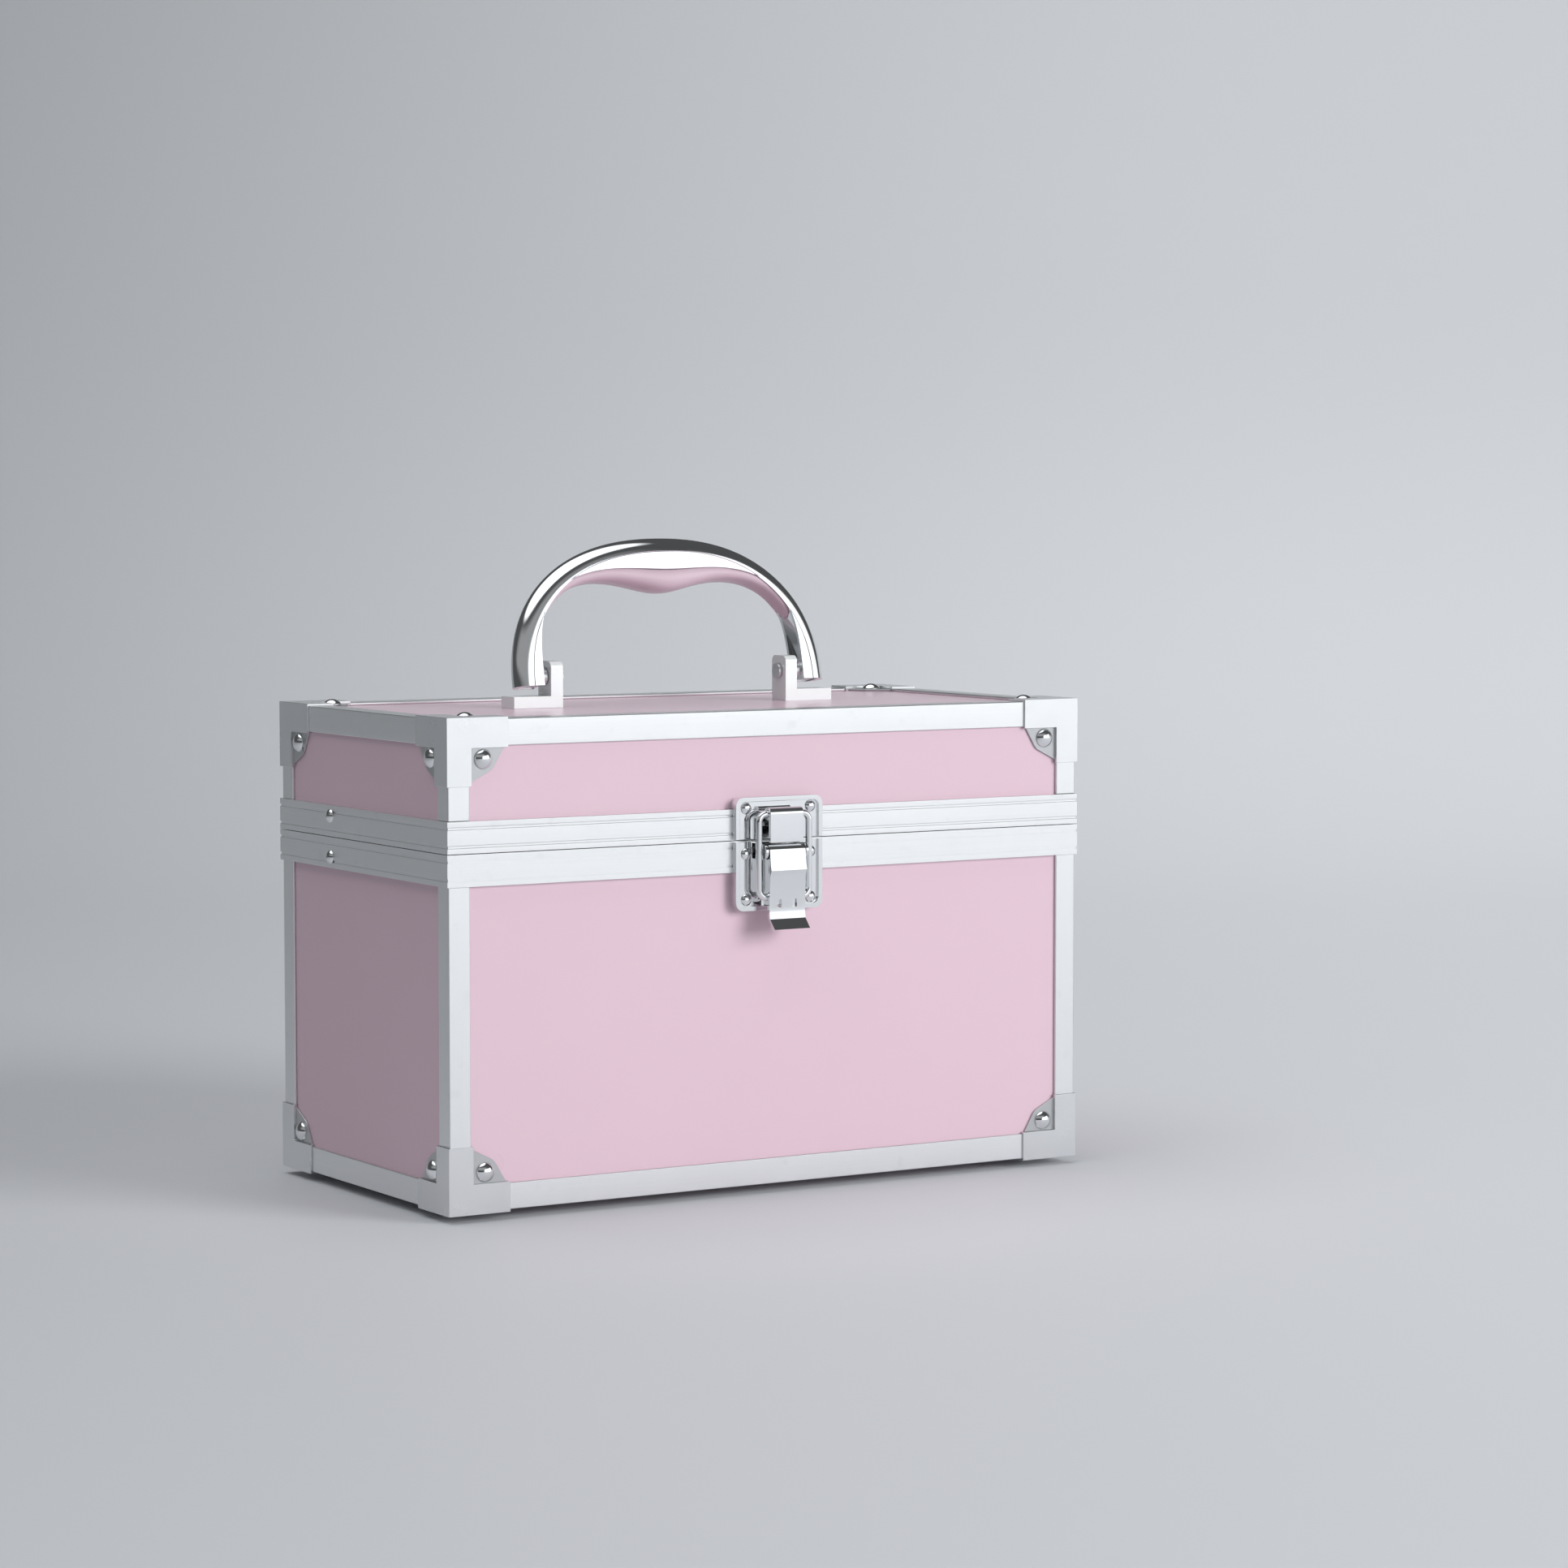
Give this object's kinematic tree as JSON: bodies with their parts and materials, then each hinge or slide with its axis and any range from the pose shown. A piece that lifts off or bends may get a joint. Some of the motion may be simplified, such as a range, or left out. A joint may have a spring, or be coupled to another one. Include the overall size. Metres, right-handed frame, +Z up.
{
  "type": "makeup storage case with handle",
  "caption": "Small rigid beauty case with panelled walls in a metal edge frame, a hinged lid on stays, a draw latch and an arched swinging handle.",
  "frame": {"origin": "middle of the footprint of the closed case (latch and hinges counted), on the surface it stands on", "axes": "+Z up, -Y is the front with the latch, +X to the right seen from the front"},
  "size_m": [0.2428, 0.1377, 0.2134],
  "materials": {
    "pink_laminate": "fibreboard faced with glossy pink laminate",
    "aluminium": "satin, drawn profile",
    "guard_steel": "plated, pressed sheet",
    "chrome": "bright chrome plate",
    "bright_steel": "zinc plated",
    "rubber": "matt",
    "lining": "dark grey foam-backed cloth",
    "mirror_glass": "silvered glass",
    "pink_grip": "smooth, semi-gloss"
  },
  "bodies": {
    "base": {"base_front_panel": "pink_laminate", "base_back_panel": "pink_laminate", "base_left_panel": "pink_laminate", "base_right_panel": "pink_laminate", "base_floor_panel": "pink_laminate", "base_long_rails": "aluminium", "base_short_rails": "aluminium", "base_corner_rails": "aluminium", "base_front_band": "aluminium", "base_back_band": "aluminium", "base_side_bands": "aluminium", "base_guard_front_left": "guard_steel", "base_guard_front_right": "guard_steel", "base_guard_back_left": "guard_steel", "base_guard_back_right": "guard_steel", "base_guard_rivets": "chrome", "feet": "rubber", "foot_screws": "bright_steel", "base_lining": "lining", "hinge_base_leaves": "bright_steel", "hinge_pins": "bright_steel", "hinge_base_rivets": "chrome", "latch_base_plate": "chrome", "latch_base_rivets": "chrome", "latch_lever_pin": "bright_steel", "stay_base_studs": "chrome"},
    "lid": {"lid_top_panel": "pink_laminate", "lid_front_panel": "pink_laminate", "lid_back_panel": "pink_laminate", "lid_left_panel": "pink_laminate", "lid_right_panel": "pink_laminate", "lid_long_rails": "aluminium", "lid_short_rails": "aluminium", "lid_corner_rails": "aluminium", "lid_front_band": "aluminium", "lid_back_band": "aluminium", "lid_side_bands": "aluminium", "lid_guard_front_left": "guard_steel", "lid_guard_front_right": "guard_steel", "lid_guard_back_left": "guard_steel", "lid_guard_back_right": "guard_steel", "lid_guard_rivets": "chrome", "lid_lining": "lining", "mirror": "mirror_glass", "hinge_lid_leaves": "bright_steel", "hinge_lid_rivets": "chrome", "latch_catch_plate": "chrome", "latch_catch_rivets": "chrome", "stay_lid_rivets": "chrome", "handle_bracket_left": "chrome", "handle_bracket_right": "chrome", "handle_bracket_rivets": "chrome"},
    "handle": {"handle_shell": "chrome", "handle_grip": "pink_grip", "handle_lugs": "bright_steel"},
    "latch_lever": {"latch_lever": "chrome"},
    "latch_bail": {"latch_bail": "chrome", "latch_claw": "chrome"},
    "stay_left": {"stay_bar_left": "bright_steel"},
    "stay_right": {"stay_bar_right": "bright_steel"}
  },
  "joints": [
    {"name": "lid_hinge", "type": "hinge", "parent": "base", "child": "lid", "pos_m": [0, 0.06645, 0.1164], "axis": [-1, 0, 0], "range_deg": [0, 95]},
    {"name": "handle_swing", "type": "hinge", "parent": "lid", "child": "handle", "pos_m": [0, 0.01065, 0.1677], "axis": [1, 0, 0], "range_deg": [-76, 100]},
    {"name": "latch_lever_pivot", "type": "hinge", "parent": "base", "child": "latch_lever", "pos_m": [0, -0.06325, 0.1128], "axis": [-1, 0, 0], "range_deg": [0, 110]},
    {"name": "latch_bail_pivot", "type": "hinge", "parent": "latch_lever", "child": "latch_bail", "pos_m": [0, -0.06345, 0.098], "axis": [-1, 0, 0], "range_deg": [-121, 0]},
    {"name": "stay_left_pivot", "type": "hinge", "parent": "lid", "child": "stay_left", "pos_m": [-0.1128, 0.02545, 0.12315], "axis": [-1, 0, 0], "range_deg": [-47.5, 0]},
    {"name": "stay_right_pivot", "type": "hinge", "parent": "lid", "child": "stay_right", "pos_m": [0.1128, 0.02545, 0.12315], "axis": [-1, 0, 0], "range_deg": [-47.5, 0]}
  ],
  "couplings": [
    {"joint": "latch_bail_pivot", "follows": "latch_lever_pivot", "ratio": -1.1},
    {"joint": "stay_left_pivot", "follows": "lid_hinge", "ratio": -0.5},
    {"joint": "stay_right_pivot", "follows": "lid_hinge", "ratio": -0.5}
  ]
}
